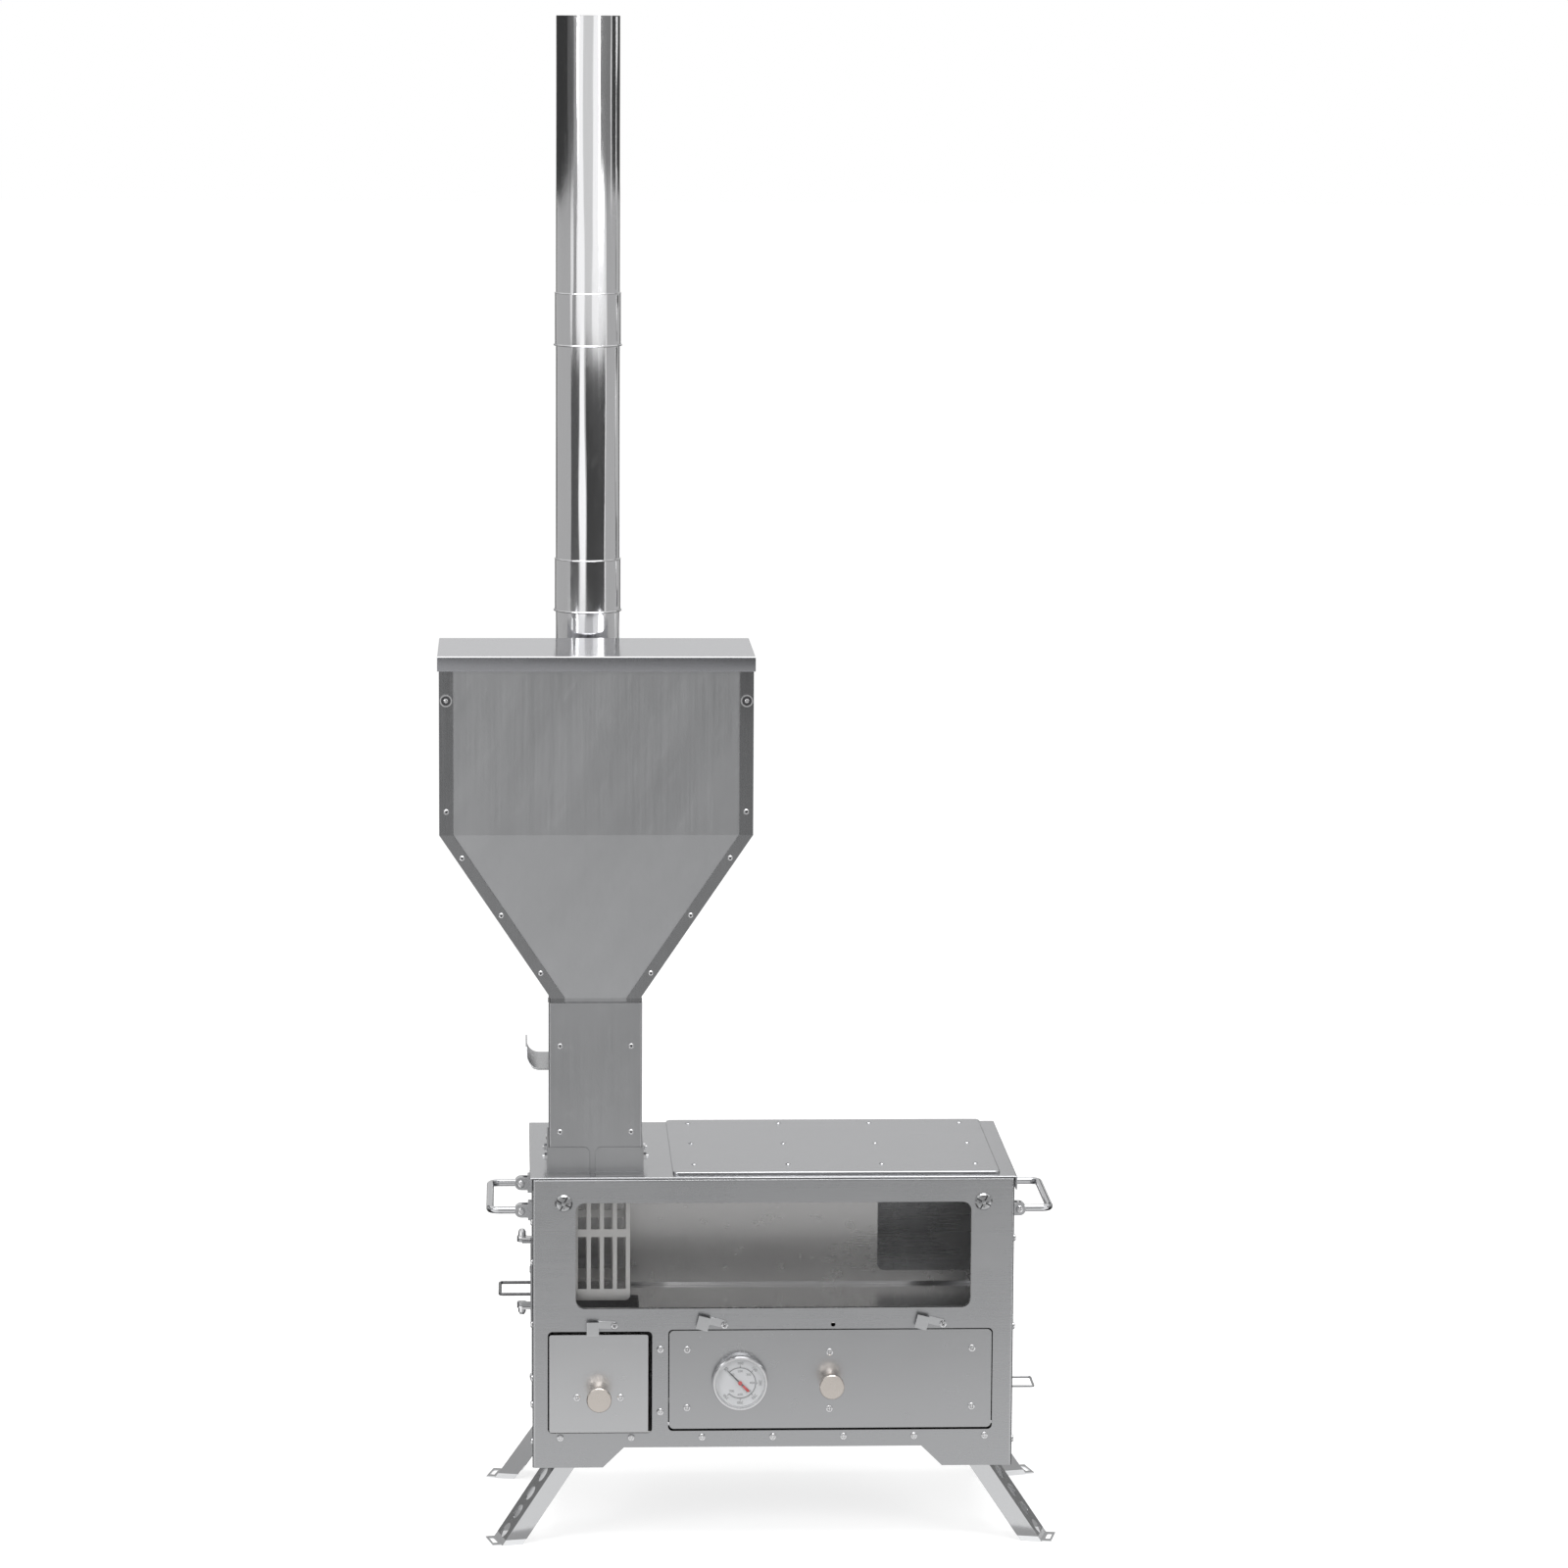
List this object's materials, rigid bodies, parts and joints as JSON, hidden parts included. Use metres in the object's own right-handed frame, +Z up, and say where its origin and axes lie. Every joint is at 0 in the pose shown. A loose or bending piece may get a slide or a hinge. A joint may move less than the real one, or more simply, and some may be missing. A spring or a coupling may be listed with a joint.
{
  "type": "tent wood stove",
  "caption": "Folding-leg steel tent stove with window, oven, ash drawer, gravity pellet hopper and plug-in flue pipe.",
  "frame": {"origin": "on the floor under the middle of the firebox casing", "axes": "+X to the viewer's right, front faces -Y, +Z up"},
  "size_m": [0.6721, 0.3442, 1.6409],
  "materials": {
    "panel_steel": "satin sheet",
    "wall_steel": "satin sheet",
    "plate_steel": "fine satin sheet",
    "hot_steel": "heat-dulled sheet",
    "bright_steel": "polished",
    "pipe_steel": "mirror-polished tube",
    "knob_metal": "satin nickel",
    "window": "clear ceramic glass",
    "dial_glass": "clear",
    "gasket": "braided glass-fibre rope",
    "needle": "satin black"
  },
  "bodies": {
    "stove": {"front_panel": "panel_steel", "back_panel": "panel_steel", "left_wall": "wall_steel", "right_wall": "wall_steel", "bottom_plate": "wall_steel", "top_cover": "plate_steel", "left_surround": "panel_steel", "window_glass": "window", "window_gasket": "gasket", "window_retainer": "wall_steel", "window_knobs": "bright_steel", "firebox_floor": "hot_steel", "baffle_plate": "hot_steel", "pellet_basket": "hot_steel", "feed_chute": "hot_steel", "ash_partition": "hot_steel", "ash_shelf": "hot_steel", "oven_liner": "hot_steel", "oven_rack": "hot_steel", "oven_hinges": "wall_steel", "cook_plate": "plate_steel", "cook_rivets": "bright_steel", "panel_screws": "bright_steel", "handle_brackets": "plate_steel", "handle_pins": "bright_steel", "side_hinges": "bright_steel", "leg_brackets": "wall_steel", "leg_pins": "bright_steel", "latch_screws": "bright_steel", "neck_collar": "panel_steel", "neck_bolts": "bright_steel", "feed_neck": "panel_steel", "neck_rivets": "bright_steel", "hopper_sides": "wall_steel", "hopper_plates": "panel_steel", "hopper_fittings": "bright_steel", "flue_collar": "pipe_steel"},
    "oven_door": {"oven_door": "panel_steel", "oven_shield": "hot_steel", "oven_knob": "knob_metal", "oven_pins": "bright_steel", "thermometer_case": "bright_steel", "thermometer_glass": "dial_glass", "door_screws": "bright_steel"},
    "needle": {"thermometer_needle": "needle"},
    "ash_drawer": {"ash_front": "plate_steel", "ash_pan": "hot_steel", "ash_knob": "knob_metal", "ash_screws": "bright_steel"},
    "latch_left": {"latch_left": "plate_steel"},
    "latch_middle": {"latch_middle": "plate_steel"},
    "latch_right": {"latch_right": "plate_steel"},
    "side_door": {"side_door": "plate_steel", "side_pull": "bright_steel"},
    "soot_tray": {"soot_tray": "wall_steel"},
    "left_handle": {"left_handle": "bright_steel"},
    "right_handle": {"right_handle": "bright_steel"},
    "leg_front_left": {"leg_front_left": "plate_steel"},
    "leg_front_right": {"leg_front_right": "plate_steel"},
    "leg_rear_left": {"leg_rear_left": "plate_steel"},
    "leg_rear_right": {"leg_rear_right": "plate_steel"},
    "hopper_lid": {"hopper_lid": "plate_steel"},
    "feed_gate": {"feed_gate": "plate_steel"},
    "pipe_1": {"pipe_1": "pipe_steel"},
    "pipe_2": {"pipe_2": "pipe_steel"},
    "pipe_3": {"pipe_3": "pipe_steel"},
    "pipe_4": {"pipe_4": "pipe_steel"}
  },
  "joints": [
    {"name": "oven_door_hinge", "type": "hinge", "parent": "stove", "child": "oven_door", "pos_m": [0.0622, -0.1455, 0.131], "axis": [1, 0, 0], "range_deg": [0, 90]},
    {"name": "thermometer_needle_turn", "type": "hinge", "parent": "oven_door", "child": "needle", "pos_m": [-0.036, -0.16, 0.1792], "axis": [0, 1, 0], "range_deg": [0, 270]},
    {"name": "ash_drawer_slide", "type": "slide", "parent": "stove", "child": "ash_drawer", "axis": [0, -1, 0], "range_m": [0, 0.23]},
    {"name": "side_door_hinge", "type": "hinge", "parent": "stove", "child": "side_door", "pos_m": [-0.271, -0.004, 0.268], "axis": [0, 0, -1], "range_deg": [0, 120]},
    {"name": "soot_tray_slide", "type": "slide", "parent": "stove", "child": "soot_tray", "axis": [1, 0, 0], "range_m": [0, 0.33]},
    {"name": "feed_gate_slide", "type": "slide", "parent": "stove", "child": "feed_gate", "axis": [-1, 0, 0], "range_m": [0, 0.094]},
    {"name": "hopper_lid_lift", "type": "slide", "parent": "stove", "child": "hopper_lid", "axis": [0, 0, 1], "range_m": [0, 0.1]},
    {"name": "latch_left_turn", "type": "hinge", "parent": "stove", "child": "latch_left", "pos_m": [-0.1717, -0.151, 0.2413], "axis": [0, 1, 0], "range_deg": [0, 95]},
    {"name": "latch_middle_turn", "type": "hinge", "parent": "stove", "child": "latch_middle", "pos_m": [-0.0528, -0.151, 0.2413], "axis": [0, 1, 0], "range_deg": [0, 81]},
    {"name": "latch_right_turn", "type": "hinge", "parent": "stove", "child": "latch_right", "pos_m": [0.1837, -0.151, 0.2413], "axis": [0, 1, 0], "range_deg": [0, 81]},
    {"name": "left_handle_fold", "type": "hinge", "parent": "stove", "child": "left_handle", "pos_m": [-0.272, 0, 0.3517], "axis": [0, -1, 0], "range_deg": [0, 70]},
    {"name": "right_handle_fold", "type": "hinge", "parent": "stove", "child": "right_handle", "pos_m": [0.272, 0, 0.3517], "axis": [0, 1, 0], "range_deg": [0, 90]},
    {"name": "leg_front_left_fold", "type": "hinge", "parent": "stove", "child": "leg_front_left", "pos_m": [-0.2211, -0.12271, 0.0955], "axis": [0.225, -0.9744, 0], "range_deg": [0, 124]},
    {"name": "leg_front_right_fold", "type": "hinge", "parent": "stove", "child": "leg_front_right", "pos_m": [0.2211, -0.12271, 0.0955], "axis": [0.225, 0.9744, 0], "range_deg": [0, 124]},
    {"name": "leg_rear_left_fold", "type": "hinge", "parent": "stove", "child": "leg_rear_left", "pos_m": [-0.2211, 0.12271, 0.0955], "axis": [-0.225, -0.9744, 0], "range_deg": [0, 124]},
    {"name": "leg_rear_right_fold", "type": "hinge", "parent": "stove", "child": "leg_rear_right", "pos_m": [0.2211, 0.12271, 0.0955], "axis": [-0.225, 0.9744, 0], "range_deg": [0, 124]},
    {"name": "pipe_1_lift", "type": "slide", "parent": "stove", "child": "pipe_1", "axis": [0, 0, 1], "range_m": [0, 0.07]},
    {"name": "pipe_2_lift", "type": "slide", "parent": "pipe_1", "child": "pipe_2", "axis": [0, 0, 1], "range_m": [0, 0.07]},
    {"name": "pipe_3_lift", "type": "slide", "parent": "pipe_2", "child": "pipe_3", "axis": [0, 0, 1], "range_m": [0, 0.07]},
    {"name": "pipe_4_lift", "type": "slide", "parent": "pipe_3", "child": "pipe_4", "axis": [0, 0, 1], "range_m": [0, 0.07]}
  ]
}
